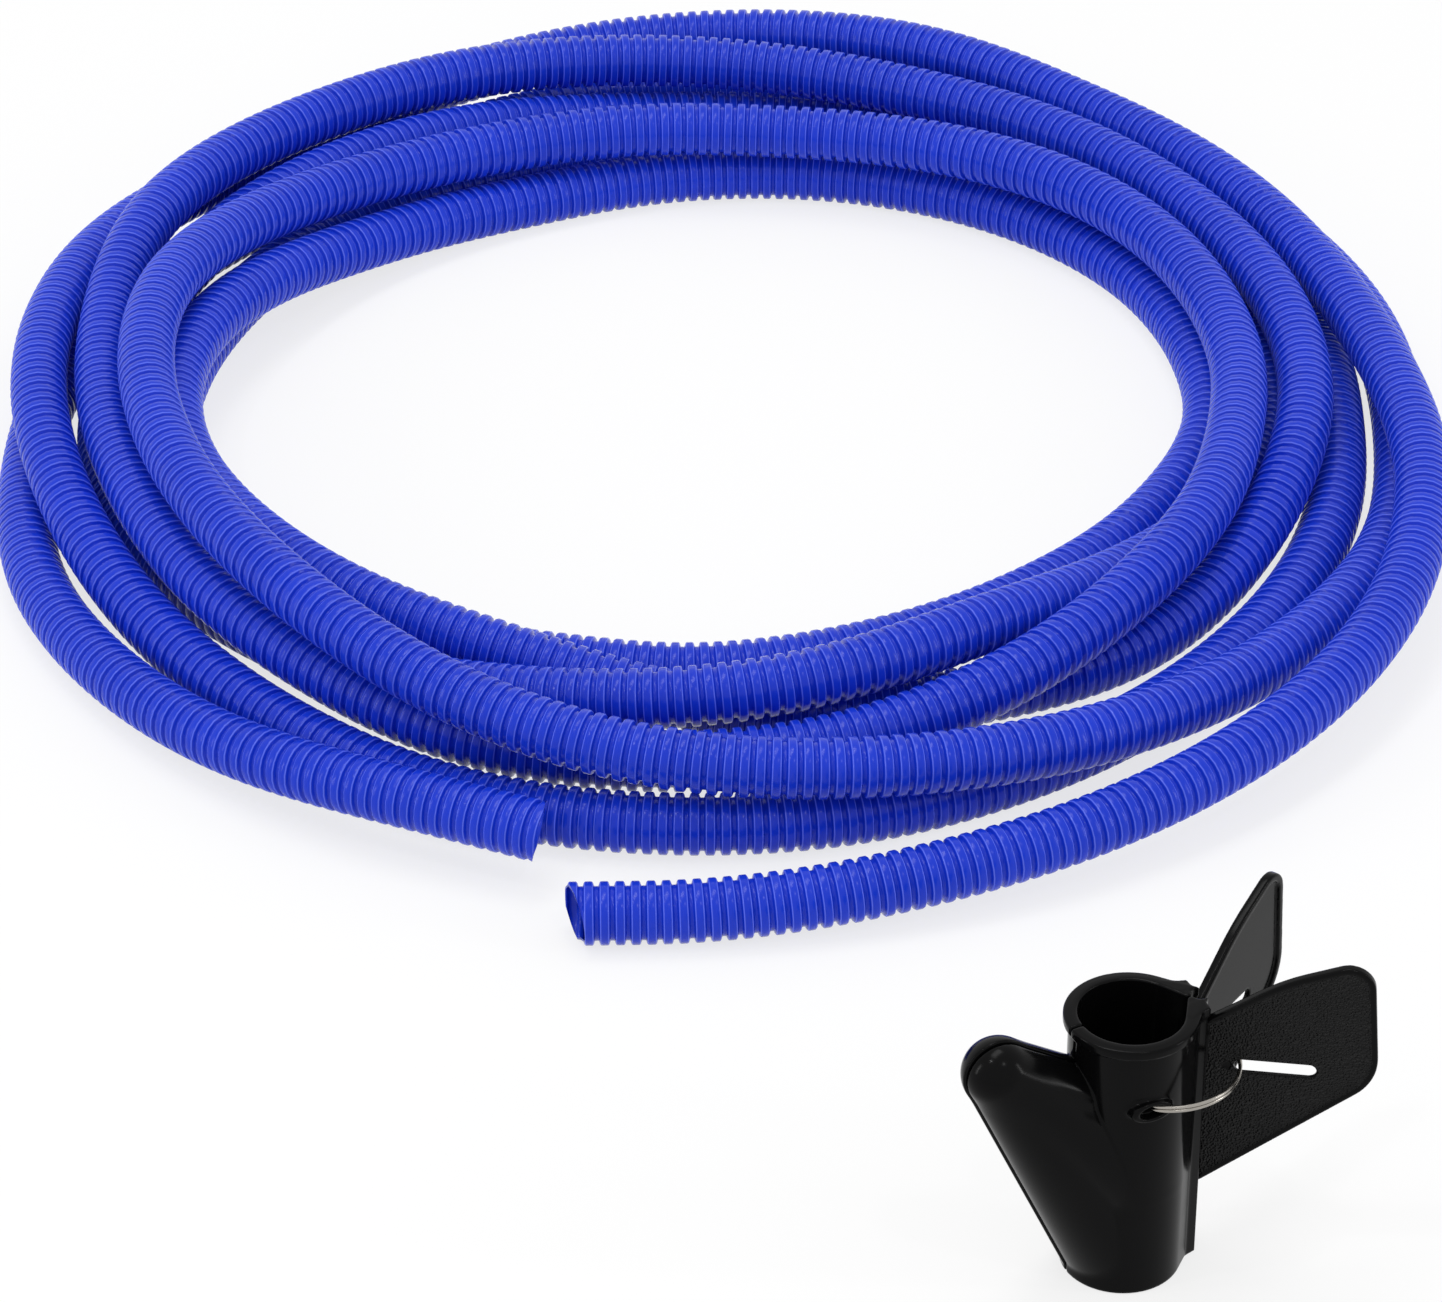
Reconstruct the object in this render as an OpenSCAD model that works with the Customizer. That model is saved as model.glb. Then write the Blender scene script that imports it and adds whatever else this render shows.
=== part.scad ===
// Loose coil of corrugated hose with two bare cut ends, and the hinged
// cable-laying tool that comes with it, standing beside the coil.
// Units: millimetres. +Z is up, and everything rests on z = 0.

/* [Hose] */
// Outer diameter over the ribs
hose_od = 16; // [14:0.5:18]
// Diameter of the clear bore
hose_bore = 12.6; // [11:0.1:13]
// Outer diameter at the bottom of a groove
groove_od = 13.6; // [13.2:0.1:14]
// Distance from one rib to the next
rib_pitch = 3.9; // [3.6:0.1:4.2]
// Share of the pitch that a rib's crown takes up
crown_share = 0.5; // [0.4:0.05:0.6]
// Straight ribs at the end that lies free in front
free_mouth_ribs = 5; // [4:1:8]
// Straight ribs at the end that lies against the coil
tail_mouth_ribs = 9; // [4:1:10]

/* [Coil] */
// Spans of 15 degrees that the ribbed free end covers
free_spans = 4; // [2:1:5]
// Spans of 15 degrees that the ribbed tail covers
tail_spans = 2; // [1:1:3]
// Ribs in each of those spans
ribs_per_span = 16; // [8:1:18]
// Sides of the smooth tube in the loops
loop_sides = 6; // [6:1:8]
// Least distance between the middles of two turns, in hose diameters
turn_gap = 1.12; // [1.12:0.01:1.14]

/* [Tool body] */
// Outer diameter of the barrel
barrel_od = 28.2; // [27:0.2:30]
// Inner diameter of the barrel
barrel_bore = 24.2; // [23:0.2:25]
// Height of the barrel
barrel_h = 70; // [66:1:74]
// Outer diameter of the rolled rim at the top
rim_od = 30.8; // [30:0.2:32]
// Height of the rim
rim_h = 2.6; // [2:0.1:4]
// Gap between the two shells
shell_gap = 0.3; // [0.2:0.05:0.4]
// Distance of the hinge line from the barrel's middle
hinge_x = 17.5; // [17:0.1:18]
// Radius of the hinge knuckles
knuckle_r = 1.8; // [1.5:0.1:2]

/* [Tool nose] */
// Distance of the nose's tip from the barrel's middle
nose_x = 33; // [30:0.5:35]
// Height of the middle of the nose's tip
nose_z = 63; // [60:0.5:64]
// Radius of the nose's round tip
nose_r = 7.8; // [7:0.1:8.5]
// Wall of the nose
nose_wall = 2; // [1.6:0.1:2.4]

/* [Tool wings] */
// Angle of each wing from the middle plane
wing_angle = 32; // [30:1:36]
// Thickness of a wing
wing_t = 2.4; // [2:0.1:2.8]
// Distance of a wing's inner face from the hinge line's plane
wing_off = 0.9; // [0.7:0.1:1.2]
// Depth of the panel set into each wing's inner face
panel_depth = 0.8; // [0.5:0.1:1]
// Width of the border round that panel
border = 2; // [1.5:0.1:2.5]
// Height of the spring ring and the middle of the slots
ring_z = 52.7; // [50:0.1:54]
// Height of a wing's slot
slot_h = 3.4; // [3:0.1:3.8]

/* [Spring ring] */
// Radius of the ring at the middle of its wire
ring_r = 17; // [16.8:0.1:17.2]
// Radius of the wire
wire_r = 0.45; // [0.4:0.05:0.5]

/* [Hidden] */

// The origin is the middle of the whole object's footprint.
shift = [0.5, 93.4, 0];

// Where the tool stands, before the shift, and how it is turned.
tool_at = [92, -374, 0];
tool_turn = 24;

// ---------------------------------------------------------------- route
// The hose runs anticlockwise from its free end, through seven turns.
// Each row is one turn, at the bearings 270, 315, 0, 45, 90, 135, 180
// and 225 degrees. Distances from the middle of the coil and heights
// above the floor are in hose diameters.
turn_r = [
  [15.50, 14.45, 11.20, 10.95, 13.20, 11.40, 11.80, 12.15],
  [13.70, 11.90, 10.75, 11.20, 11.00, 10.15, 11.00, 10.95],
  [11.05,  9.20, 10.05, 10.40,  9.80,  9.50, 10.00, 10.00],
  [ 8.75,  8.05,  9.15,  9.40,  8.65,  8.35,  9.90, 10.00],
  [ 9.90, 10.85, 10.10, 10.20, 11.00, 11.20, 10.95, 11.45],
  [12.10, 10.05,  8.90,  9.05,  8.15,  9.05,  9.75, 11.10],
  [13.60, 12.80, 11.40, 11.90, 12.00, 10.70, 11.50, 13.65],
  [13.80, 11.30]
];
turn_z = [
  [0.50, 1.20, 1.42, 1.50, 1.40, 0.90, 1.53, 0.75],
  [0.50, 0.50, 0.50, 0.50, 0.50, 1.40, 0.50, 0.70],
  [1.45, 1.20, 0.50, 0.50, 0.50, 0.50, 0.50, 0.50],
  [0.50, 0.50, 0.50, 0.50, 0.50, 0.50, 1.45, 1.25],
  [0.50, 0.50, 1.36, 1.45, 1.40, 1.80, 1.50, 1.45],
  [0.50, 1.53, 1.53, 1.45, 1.40, 1.45, 2.52, 2.50],
  [1.45, 0.95, 0.50, 0.50, 0.50, 0.50, 0.50, 0.50],
  [1.35, 1.35]
];
// The free end comes in from the left, outside the coil.
lead_r = 17.2;
lead_z = 0.5;

// Samples along the route, every 15 degrees.
first_bearing = 265.6;
step = 15;
samples = 168;
per_turn = 24;

// A smooth curve through four values, between the middle two.
function curve(a, b, c, d, t) =
  0.5 * (2 * b + (c - a) * t + (2 * a - 5 * b + 4 * c - d) * t * t
  + (3 * b - a - 3 * c + d) * t * t * t);

keys_r = concat([2 * lead_r - turn_r[0][0], lead_r], [for (row = turn_r) for (v = row) v]);
keys_z = concat([lead_z, lead_z], [for (row = turn_z) for (v = row) v]);
last_key = len(keys_r) - 1;
function bearing(j) = first_bearing + step * j;
function key_curve(k, u) =
  let(i = floor(u))
  curve(k[i - 1], k[i], k[i + 1], k[min(i + 2, last_key)], u - i);
wanted = [for (j = [0:samples - 1])
  let(u = (bearing(j) - 180) / 45)
  [key_curve(keys_r, u), key_curve(keys_z, u)]];

// The turns lie on each other: where two come closer than turn_gap, both
// give way by half, then the hose's stiffness irons the kink out.
function away(p, q) =
  let(d = p - q, far = norm(d))
  far < turn_gap ? d / far * (turn_gap - far) / 2 : [0, 0];
function total(list, i = 0, sum = [0, 0]) =
  i == len(list) ? sum : total(list, i + 1, sum + list[i]);
function shoved(p, i) =
  total([for (s = [-7:7])
    let(o = i + s * per_turn)
    if (s != 0 && o >= 0 && o < samples) away(p[i], p[o])]);
function pushed(p) = [for (i = [0:samples - 1]) p[i] + 0.9 * shoved(p, i)];
function ironed(q) = [for (i = [0:samples - 1])
  let(mean = i == 0 || i == samples - 1 ? q[i] : (q[i - 1] + 2 * q[i] + q[i + 1]) / 4)
  q[i] + 0.25 * (mean - q[i]) + 0.05 * (wanted[i] - q[i])];
function floored(q) = [for (v = q) [v[0], max(v[1], 0.5)]];
function settled(p, rounds) =
  rounds == 0 ? p : settled(floored(ironed(pushed(p))), rounds - 1);
function spread(p, rounds) =
  rounds == 0 ? p : spread(floored(pushed(p)), rounds - 1);
lay = spread(settled(wanted, 48), 32);

// The loops are pressed a tenth of a diameter into the floor and cut flat
// there. The free end rises to lie on it, and the tail leans on the strand
// behind it.
press = 0.1;
free_z = 0.5;
tail_z = 1;
function weight(j) = min(1, j / 3, (samples - 1 - j) / 2);
way = [for (j = [0:samples - 1])
  hose_od * [lay[j][0] * cos(bearing(j)), lay[j][0] * sin(bearing(j)),
    j == 0 ? free_z : j == samples - 1 ? tail_z : lay[j][1] - press * weight(j)]];

// Beyond its first and last sample the route bends on and is level.
function beyond(a, b, c) = let(p = 3 * a - 3 * b + c) [p[0], p[1], b[2]];
function knot(i) =
  i < 0 ? beyond(way[0], way[1], way[2]) :
  i > samples - 1 ? beyond(way[samples - 1], way[samples - 2], way[samples - 3]) : way[i];
function way_at(u) =
  let(i = min(floor(u), samples - 2))
  curve(knot(i - 1), way[i], way[i + 1], knot(i + 2), u - i);

// Least gap between any two turns, measured from points on each straight
// piece of the loops to the straight pieces of every other turn.
function to_piece(p, a, b) =
  let(d = b - a, t = max(0, min(1, ((p - a) * d) / (d * d))))
  norm(p - a - t * d);
gaps = [for (i = [0:samples - 2]) for (t = [0, 0.25, 0.5, 0.75]) for (s = [1:6])
  for (m = [-2:2])
  let(o = i + s * per_turn + m)
  if (o < samples - 1) to_piece(way[i] + t * (way[i + 1] - way[i]), way[o], way[o + 1])];
least_gap = min(gaps) - hose_od;
hose_length = total([for (i = [0:samples - 2]) [norm(way[i + 1] - way[i]), 0]])[0]
  + (free_mouth_ribs + tail_mouth_ribs) * rib_pitch;
echo(str("least gap between turns ", least_gap, " mm"));
echo(str("hose length ", hose_length, " mm"));
assert(least_gap > 0.4, "the turns lie too close");

// --------------------------------------------------------------- sweeps
// A ring of points square to the path. Point 0 is at the top.
function ring_at(p, dir, r, sides) =
  let(side = cross(dir, [0, 0, 1]), s = side / norm(side), up = cross(s, dir))
  [for (k = [0:sides - 1]) p + r * (cos(360 * k / sides) * up + sin(360 * k / sides) * s)];
function unit(v) = v / norm(v);

// Triangles between rings of a skin. in is true for the inner skin.
function skin(rings, sides, start, in) = [for (i = [0:rings - 2]) for (k = [0:sides - 1])
  let(a = start + i * sides + k, b = start + i * sides + (k + 1) % sides,
    c = a + sides, d = b + sides)
  for (f = in ? [[a, b, c], [b, d, c]] : [[a, c, b], [b, c, d]]) f];
function disc(start, sides, back) = [for (k = [1:sides - 2])
  back ? [start, start + k + 1, start + k] : [start, start + k, start + k + 1]];
function annulus(outer, inner, sides, back) = [for (k = [0:sides - 1])
  let(m = (k + 1) % sides)
  for (f = back ? [[outer + k, inner + k, outer + m], [outer + m, inner + k, inner + m]]
    : [[outer + k, outer + m, inner + k], [outer + m, inner + m, inner + k]]) f];

// A plain closed tube along points.
module rod(path, r, sides) {
  n = len(path);
  rings = [for (i = [0:n - 1])
    ring_at(path[i], unit(path[min(i + 1, n - 1)] - path[max(i - 1, 0)]), r, sides)];
  polyhedron([for (g = rings) for (p = g) p],
    concat(skin(n, sides, 0, false), disc(0, sides, false),
      disc((n - 1) * sides, sides, true)), convexity = 20);
}

// A ribbed tube with its bore, between two places on the route.
module ribbed(u0, u1, ribs) {
  sides = 8;
  n = 2 * ribs + 1;
  m = 4 * (u1 - u0) + 1;
  outer = [for (i = [0:n - 1])
    let(u = u0 + (u1 - u0) * i / (n - 1))
    ring_at(way_at(u), heading(u, u0, u1), i % 2 == 1 ? hose_od / 2 : groove_od / 2, sides)];
  inner = [for (i = [0:m - 1])
    let(u = u0 + (u1 - u0) * i / (m - 1))
    ring_at(way_at(u), heading(u, u0, u1), hose_bore / 2, sides)];
  cut = n * sides;
  polyhedron([for (g = concat(outer, inner)) for (p = g) p],
    concat(skin(n, sides, 0, false), skin(m, sides, cut, true),
      annulus(0, cut, sides, false),
      annulus((n - 1) * sides, cut + (m - 1) * sides, sides, true)), convexity = 20);
}
// The direction of the route. Both free ends leave level.
function heading(u, u0, u1) =
  let(d = way_at(min(u + 0.02, samples - 1)) - way_at(max(u - 0.02, 0)))
  u == 0 ? unit([d[0], d[1], 0]) : u == samples - 1 ? unit([d[0], d[1], 0]) : unit(d);

// A straight corrugated end with a true round bore, along +Z from 0.
module mouth(ribs) {
  crown = rib_pitch * crown_share;
  slope = rib_pitch * 0.1;
  base = rib_pitch - crown - 2 * slope;
  rotate_extrude($fn = 48)
    polygon(concat([[hose_bore / 2, 0]],
      [for (i = [0:ribs - 1]) for (q = [[groove_od / 2, 0], [groove_od / 2, base / 2],
        [hose_od / 2, base / 2 + slope], [hose_od / 2, base / 2 + slope + crown],
        [groove_od / 2, rib_pitch - base / 2]]) [q[0], q[1] + i * rib_pitch]],
      [[groove_od / 2, ribs * rib_pitch], [hose_bore / 2, ribs * rib_pitch]]));
}

// ------------------------------------------------------------ hose nodes
module on_floor() {
  difference() {
    children();
    translate([-400, -600, -60]) cube([800, 1000, 60]);
  }
}
module aimed(p, dir) {
  translate(p) rotate([0, 0, atan2(dir[1], dir[0])]) rotate([0, 90, 0]) children();
}
module hose_free_mouth() {
  color("royalblue") translate(shift)
    aimed(way[0], -heading(0, 0, 1)) mouth(free_mouth_ribs);
}
module hose_free_end() {
  color("royalblue") translate(shift)
    on_floor() ribbed(0, free_spans, free_spans * ribs_per_span);
}
module hose_coil() {
  color("royalblue") translate(shift)
    on_floor() rod([for (j = [free_spans:samples - 1 - tail_spans]) way[j]],
      hose_od / 2, loop_sides);
}
module hose_tail_end() {
  color("royalblue") translate(shift)
    on_floor() ribbed(samples - 1 - tail_spans, samples - 1, tail_spans * ribs_per_span);
}
module hose_tail_mouth() {
  color("royalblue") translate(shift)
    aimed(way[samples - 1], heading(samples - 1, 0, samples - 1)) mouth(tail_mouth_ribs);
}

// ------------------------------------------------------------- tool nodes
// The tool's own frame: the barrel stands on the origin, +X points to the
// hinge, the nose is on the other side, and +Y is the rear shell's side.
module in_place() {
  translate(shift + tool_at) rotate([0, 0, tool_turn]) children();
}

// The barrel's plan is a circle drawn out to a point at the hinge. The
// two straight flanks leave the circle in a shallow crease.
module drop(r, tip, z0, z1) {
  a = acos(r / tip) + 8;
  translate([0, 0, z0]) cylinder(h = z1 - z0, r = r, $fn = 96);
  translate([0, 0, z0]) linear_extrude(z1 - z0)
    polygon([[-1, 0], [0.96 * r * cos(a), -0.96 * r * sin(a)], [tip, 0],
      [0.96 * r * cos(a), 0.96 * r * sin(a)]]);
}
// A flat strip stands off the barrel beside the hinge.
module strip(side, out, z0, z1) {
  translate([0, 0, z0]) linear_extrude(z1 - z0)
    polygon([[10.6, side * 3.5], [11.3 - out, side * (7.2 + out)],
      [16.7 + out, side * (5.6 + out)], [16.7 + out, side * 2.6]]);
}
module nose(out) {
  hull() {
    translate([-nose_x, 0, nose_z]) sphere(r = nose_r + out, $fn = 32);
    translate([-15, 0, 51.5]) sphere(r = 8 + out, $fn = 32);
    translate([0, 0, 0.01 + (out < 0 ? 3 : 0)])
      cylinder(h = 3, r = barrel_od / 2 - 0.7 + out, $fn = 32);
  }
}

// One wing, lying in the plane through the hinge line. Its outline runs
// round five corners given as distance from the hinge, height and radius.
corners = [[1.5, 20.6, 1.5], [28.4, 56.8, 12.3], [33.2, 76, 6], [42.4, 32.3, 50], [2.5, 63.5, 1.5]];
function tangent(p, q) =
  let(d = [q[0] - p[0], q[1] - p[1]], far = norm(d), turn = asin((p[2] - q[2]) / far))
  atan2(d[1], d[0]) - 90 + turn;
function turned(a, b) =
  b < a ? turned(a, b + 360) : b >= a + 360 ? turned(a, b - 360) : b;
function outline(in) = [for (i = [0:4])
  let(p = corners[i], a = tangent(corners[(i + 4) % 5], p), b = turned(a, tangent(p, corners[(i + 1) % 5])),
    n = max(2, ceil((b - a) / 12)))
  for (k = [0:n])
  let(t = a + (b - a) * k / n, r = max(p[2] - in, 0.2))
  [p[0] + r * cos(t), p[1] + r * sin(t)]];

// A slot's outline, with round ends in steps of 15 degrees.
function slot(x0, x1) = [for (k = [0:25])
  let(t = k < 13 ? 90 + 15 * k : 15 * k - 285, x = k < 13 ? x0 : x1)
  [x + slot_h / 2 * cos(t), slot_h / 2 * sin(t)]];

// side is -1 for the front shell and 1 for the rear shell.
module wing(side) {
  translate([hinge_x, 0, 0]) rotate([0, 0, side * wing_angle]) rotate([90, 0, 0])
    translate([0, 0, side < 0 ? wing_off : -wing_off - wing_t])
    difference() {
      union() {
        linear_extrude(wing_t) polygon(outline(0));
        // the root that runs back into the barrel's wall
        translate([-4.5, 21, 0]) cube([8, 42, wing_t]);
      }
      // the panel is sunk into the inner face
      translate([0, 0, side < 0 ? -1 : wing_t - panel_depth])
        linear_extrude(1 + panel_depth) polygon(outline(border));
      // slot that the spring ring passes through
      translate([0, ring_z, -1]) linear_extrude(wing_t + 2) polygon(slot(10.2, 25.4));
      // small blind sink mark at the slot's end
      translate([6.9, ring_z, side < 0 ? wing_t - 0.4 : -1])
        cylinder(h = side < 0 ? 1 : 1.4, r = 1.1, $fn = 24);
    }
}
ring_x = 9.28;
ring_end = 129;
module ring_channel(side) {
  // clearance for the wire's end, along the wire
  translate([ring_x + ring_r * cos(124), side * ring_r * sin(124), ring_z])
    rotate([0, 0, side * (124 + 90)]) translate([-6, -1.1, -1.5]) cube([9.4, 2.2, 3]);
}
module shell(side) {
  difference() {
    union() {
      difference() {
        union() {
          drop(barrel_od / 2, hinge_x + 1.6, 0, barrel_h);
          drop(rim_od / 2, hinge_x + 1.9, barrel_h - rim_h, barrel_h);
          strip(side, 0, 0, barrel_h - 1);
          strip(side, 0.4, barrel_h - rim_h, barrel_h);
          nose(0);
          // raised lip where the ring goes in
          translate([-1.2, side * (barrel_od / 2 - 1.4), ring_z]) rotate([-side * 90, 0, 0])
            cylinder(h = 2.4, r = 3.1, $fn = 48);
        }
        nose(-nose_wall);
        drop(barrel_bore / 2, hinge_x - 3.2, -1, barrel_h + 1);
      }
      wing(side);
    }
    // the other half
    translate([-60, side < 0 ? -shell_gap / 2 : shell_gap / 2 - 120, -1]) cube([hinge_x + 60, 120, 90]);
    // room for the other shell's knuckles, and for this one's to be set in
    translate([hinge_x, 0, -1]) cylinder(h = barrel_h + 2, r = knuckle_r + 0.35, $fn = 48);
    translate([hinge_x - 0.01, side < 0 ? 0 : -20, -1]) cube([12, 20, barrel_h + 2]);
    ring_channel(side);
  }
}
// A knuckle with the web that carries it.
module knuckle(side, z0, z1) {
  translate([hinge_x, 0, z0]) cylinder(h = z1 - z0, r = knuckle_r, $fn = 48);
  translate([hinge_x, 0, z0]) rotate([0, 0, side * 118]) translate([0, -0.7, 0])
    cube([3.1, 1.4, z1 - z0]);
}
module front_shell() {
  color([0.03, 0.03, 0.035]) in_place() {
    shell(-1);
    knuckle(-1, 0, 17.5);
    knuckle(-1, 54, barrel_h - rim_h - 0.3);
  }
}
module rear_shell() {
  color([0.03, 0.03, 0.035]) in_place() {
    shell(1);
    knuckle(1, 17.8, 53.7);
  }
}
module spring_ring() {
  color("silver") in_place()
    translate([ring_x, 0, ring_z]) rotate([0, 0, -ring_end])
    rotate_extrude(angle = 2 * ring_end, $fn = 96) {
      translate([ring_r, 0.8 * wire_r]) circle(r = wire_r, $fn = 24);
      translate([ring_r, -0.8 * wire_r]) circle(r = wire_r, $fn = 24);
    }
}

hose_free_mouth();
hose_free_end();
hose_coil();
hose_tail_end();
hose_tail_mouth();
front_shell();
rear_shell();
spring_ring();
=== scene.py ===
"""Loose coil of blue corrugated hose, and the black hinged tool beside it.

Meshes are in metres in the part's frame. The hose's and the tool's sizes
below are in millimetres and are turned into metres where a mesh is made.
"""
import math

import bpy
import numpy as np
import openvdb
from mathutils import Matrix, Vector


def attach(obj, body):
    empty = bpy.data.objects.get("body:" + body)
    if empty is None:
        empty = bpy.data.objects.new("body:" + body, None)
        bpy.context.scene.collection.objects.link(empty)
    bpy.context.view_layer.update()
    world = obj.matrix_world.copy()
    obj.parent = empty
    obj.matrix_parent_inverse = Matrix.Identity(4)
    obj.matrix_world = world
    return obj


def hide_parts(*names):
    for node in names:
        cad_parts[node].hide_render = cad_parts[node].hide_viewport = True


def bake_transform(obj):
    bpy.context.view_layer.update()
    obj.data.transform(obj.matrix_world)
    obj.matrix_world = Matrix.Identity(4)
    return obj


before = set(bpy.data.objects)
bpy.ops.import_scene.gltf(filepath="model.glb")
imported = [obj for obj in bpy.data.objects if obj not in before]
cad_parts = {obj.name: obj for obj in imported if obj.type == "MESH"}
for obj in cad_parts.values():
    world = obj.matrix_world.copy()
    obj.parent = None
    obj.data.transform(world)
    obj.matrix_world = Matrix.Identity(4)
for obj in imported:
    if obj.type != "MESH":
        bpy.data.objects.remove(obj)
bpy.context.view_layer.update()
MM = 0.001

# ------------------------------------------------------------------- sizes
HOSE_OD = 16.0
HOSE_BORE = 12.6
WALL = 0.5
RIB_PITCH = 3.9
FREE_RIBS = 5          # straight ribs at the end that lies free in front
TAIL_RIBS = 9          # straight ribs at the end that lies against the coil
HOSE_SIDES = 20
# How far each end's cut lies inside its square end: on average, and how far it
# swings with the cosine (up) and the sine (sideways) of the turn round the hose.
FREE_CUT = (2.25, -0.7, 2.5)
TAIL_CUT = (2.8, -1.6, -2.3)
MOUTH_RIBS = 6         # ribs at each mouth whose inner side is ribbed as well

SHIFT = np.array([0.5, 93.4, 0.0])         # the coil's middle in the part's frame
TOOL_AT = np.array([92.0, -374.0, 0.0]) + SHIFT
TOOL_TURN = math.radians(24)

BARREL_R = 14.1
BORE_R = 12.1
BARREL_H = 70.0
RIM_R = 15.4
RIM_H = 2.6
HINGE_X = 17.5
KNUCKLE_R = 1.8
GAP = 0.15             # half of the gap between the two shells
KNUCKLE_ROOM = 0.35    # room round the hinge's knuckles
KNUCKLE_REAR = ((17.8, 53.7),)    # heights of the rear shell's knuckle
KNUCKLE_FRONT = ((0.0, 17.5), (54.0, BARREL_H - RIM_H - 0.3))
WEB_ANGLE = math.radians(118)     # direction of the web from knuckle to shell
WEB = (1.9, 0.7)       # half the web's length and half its thickness
STRIP = np.array([[10.6, -3.5], [11.3, -7.2], [16.7, -5.6], [16.7, -2.6]])   # x, y

NOSE_TIP = (-33.0, 63.0, 7.8)     # x, z and radius of the nose's round tip
NOSE_HEEL = (-15.0, 51.5, 8.0)    # where the nose's ridge runs into the barrel
NOSE_FOOT = (0.0, 4.0, 13.4)
NOSE_FLANK = (0.0, 26.0, 13.9)    # the flanks swell towards the barrel
NOSE_WALL = 2.0
REAR_NOSE_GROWS = 0.55            # the rear half of the nose is a little bigger

WING_ANGLE = math.radians(32)
WING_T = 2.4
WING_OFF = 0.9
WING_CORNERS = ((1.5, 20.6, 1.5), (28.4, 56.8, 12.3), (33.2, 76.0, 6.0),
                (42.4, 32.3, 50.0), (2.5, 63.5, 1.5))
WING_ROOT = (-4.5, 3.5, 21.0, 63.0)   # from, to, foot and top of the wing's root
WING_PANEL = (2.0, 0.8)           # border and depth of the inner face's panel
WING_FIELD = (1.3, 0.15)          # border and depth of the outer face's grained field
SLOT = (10.2, 25.4, 1.7)          # from, to and half height of a wing's slot
SINK = (6.9, 1.1, 0.55)           # place, radius and depth of the round sink before it

LIP = (-1.6, 5.2, 2.7)            # x, half width and half height of the ring's oval lip
LIP_Y = (12.5, 2.9, 12.9)         # its middle and half depth, and its hole's floor
RING_Z = 52.7
RING_X = 9.28
RING_R = 17.0
RING_END = 129         # degrees from the ring's middle to each of its ends
WIRE_R = 0.45
RING_SIDES, RING_STEPS = 14, 130
COIL_RISE = 1.03       # half the distance between the ring's turns, in wire radii

# ------------------------------------------------------------------ camera
AIM = Vector((0.0005, -0.0244, 0.0))
ELEVATION = math.radians(33)
DISTANCE = 1.522
LENS, SENSOR = 141.4, 36
camera_data = bpy.data.cameras.new("camera")
camera_data.lens = LENS
camera_data.sensor_width = SENSOR
camera = bpy.data.objects.new("camera", camera_data)
bpy.context.scene.collection.objects.link(camera)
camera.location = AIM + DISTANCE * Vector((0, -math.cos(ELEVATION), math.sin(ELEVATION)))
camera.rotation_euler = (AIM - camera.location).to_track_quat("-Z", "Y").to_euler()
bpy.context.scene.camera = camera


# ------------------------------------------------------------------ meshes
def new_mesh(name, points, faces, materials):
    """A smooth-shaded object from arrays of points (mm) and quads or triangles."""
    mesh = bpy.data.meshes.new(name)
    points = np.asarray(points, dtype=np.float64) * MM
    loops = np.concatenate([np.asarray(f, dtype=np.int32).ravel() for f in faces if len(f)])
    sizes = [np.full(len(f), f.shape[1], dtype=np.int32) for f in faces if len(f)]
    counts = np.concatenate(sizes)
    starts = np.concatenate([[0], np.cumsum(counts)[:-1]]).astype(np.int32)
    mesh.vertices.add(len(points))
    mesh.vertices.foreach_set("co", points.astype(np.float32).ravel())
    mesh.loops.add(len(loops))
    mesh.loops.foreach_set("vertex_index", loops)
    mesh.polygons.add(len(counts))
    mesh.polygons.foreach_set("loop_start", starts)
    mesh.update(calc_edges=True)
    mesh.validate()
    mesh.polygons.foreach_set("use_smooth", np.ones(len(mesh.polygons), dtype=bool))
    for material in materials:
        mesh.materials.append(material)
    obj = bpy.data.objects.new(name, mesh)
    bpy.context.scene.collection.objects.link(obj)
    return obj


def unit(v):
    return v / np.linalg.norm(v, axis=-1, keepdims=True)


def rings_along(points, headings, radii, sides):
    """Rings of points square to a path that runs more or less level."""
    side = unit(np.cross(headings, [0.0, 0.0, 1.0]))
    up = np.cross(side, headings)
    turn = 2 * np.pi * np.arange(sides) / sides
    spokes = (np.cos(turn)[None, :, None] * up[:, None]
              + np.sin(turn)[None, :, None] * side[:, None])
    return points[:, None] + np.asarray(radii)[:, None, None] * spokes


def skin(first, count, sides, closed=False):
    """Quads between rings whose points are numbered ring by ring."""
    i = np.arange(count if closed else count - 1)[:, None] * sides
    j = (np.arange(count if closed else count - 1)[:, None] + 1) % count * sides
    k = np.arange(sides)[None]
    m = (k + 1) % sides
    return (first + np.stack([i + k, j + k, j + m, i + m], -1)).reshape(-1, 4)


# ------------------------------------------------------------- hose's route
# The hose runs anticlockwise from its free end, through seven turns. Each
# row is one turn, at the bearings 270, 315, 0, 45, 90, 135, 180 and 225
# degrees, and the last row is the tail. Distances from the coil's middle and
# heights of the hose's own middle above the floor are in hose diameters.
TURN_R = (
    (15.50, 14.45, 11.20, 10.95, 13.20, 11.40, 11.80, 12.15),
    (13.70, 11.90, 10.75, 11.20, 11.00, 10.15, 11.00, 10.95),
    (11.05, 9.20, 10.05, 10.40, 9.80, 9.50, 10.00, 10.00),
    (8.75, 8.05, 9.15, 9.40, 8.65, 8.35, 9.90, 10.00),
    (9.90, 10.85, 10.10, 10.20, 11.00, 11.20, 10.95, 11.45),
    (12.10, 10.05, 8.90, 9.05, 8.15, 9.05, 9.75, 11.10),
    (13.60, 12.80, 11.40, 11.90, 12.00, 10.70, 11.50, 13.65),
    (13.80, 11.30),
)
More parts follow.
